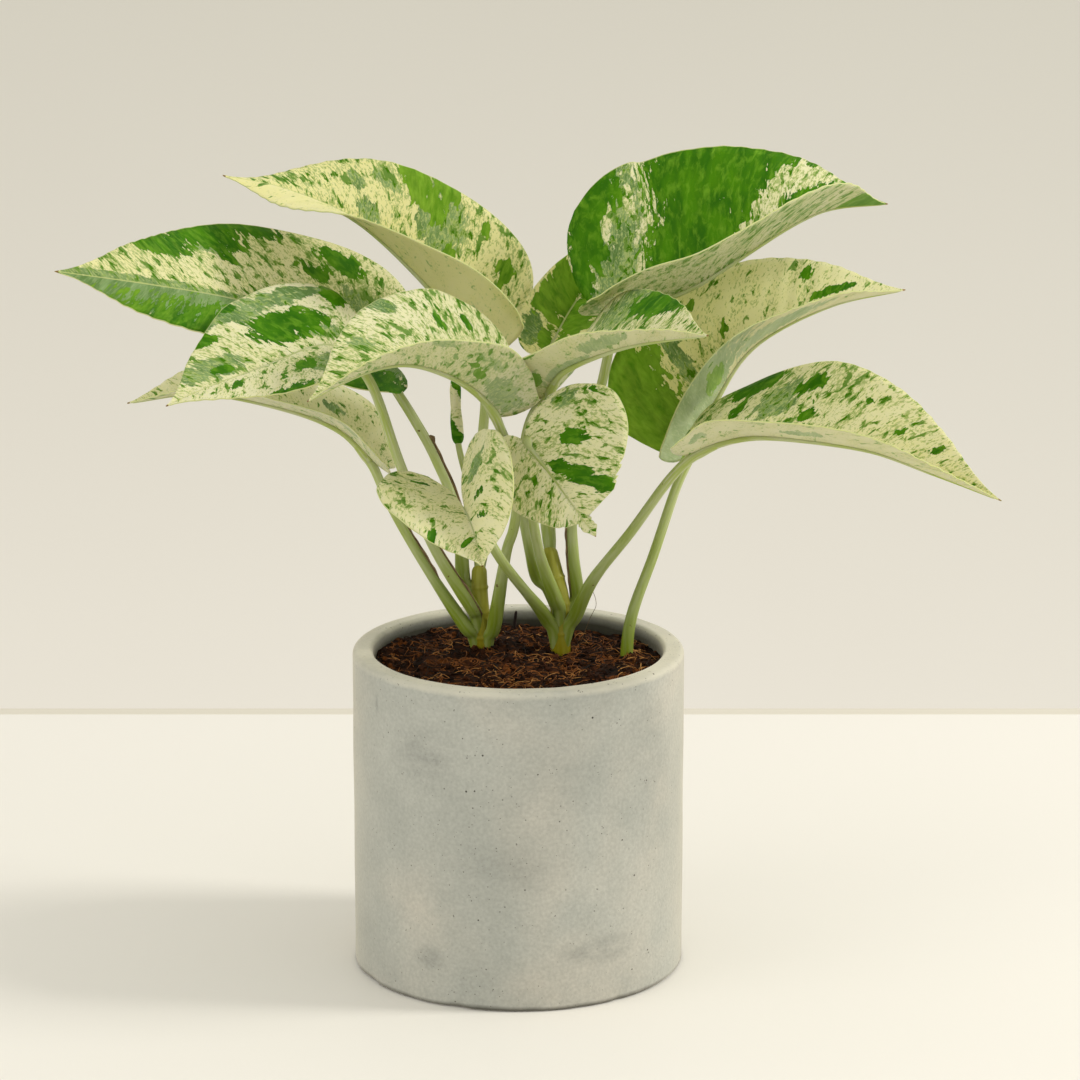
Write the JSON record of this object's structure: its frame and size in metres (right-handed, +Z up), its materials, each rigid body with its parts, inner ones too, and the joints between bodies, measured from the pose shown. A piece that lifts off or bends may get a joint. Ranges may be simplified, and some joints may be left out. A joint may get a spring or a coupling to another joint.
{
  "type": "potted pothos",
  "caption": "Marble-variegated pothos with twelve open leaves and one rolled young leaf, in a plain grey cast-concrete cylinder pot 110 mm across and 108 mm high.",
  "frame": {"origin": "centre of the pot's underside, on the surface that the pot stands on", "axes": "+Z up along the pot's axis, +X to the right as the plant is seen from the front, +Y to the back of the plant"},
  "size_m": [0.3012, 0.1284, 0.2682],
  "materials": {
    "concrete": "matte",
    "soil": "matte",
    "stem": "satin",
    "petiole": "satin",
    "leaf": "satin"
  },
  "bodies": {
    "root": {"pot": "concrete", "soil": "soil", "stem_left": "stem", "stem_middle": "stem", "petiole_left_low": "petiole", "petiole_left_front": "petiole", "petiole_left": "petiole", "petiole_top_left": "petiole", "petiole_centre_right": "petiole", "petiole_front_left": "petiole", "petiole_small_front_left": "petiole", "petiole_small_front_right": "petiole", "petiole_right_lower": "petiole", "petiole_right_upper": "petiole", "petiole_top_right": "petiole", "petiole_back_centre": "petiole", "petiole_young": "petiole", "leaf_top_left": "leaf", "leaf_left": "leaf", "leaf_left_front": "leaf", "leaf_front_left": "leaf", "leaf_centre_right": "leaf", "leaf_top_right": "leaf", "leaf_right_upper": "leaf", "leaf_right_lower": "leaf", "leaf_small_front_left": "leaf", "leaf_small_front_right": "leaf", "leaf_back_centre": "leaf", "leaf_left_low": "leaf", "leaf_young": "leaf"}
  },
  "joints": []
}
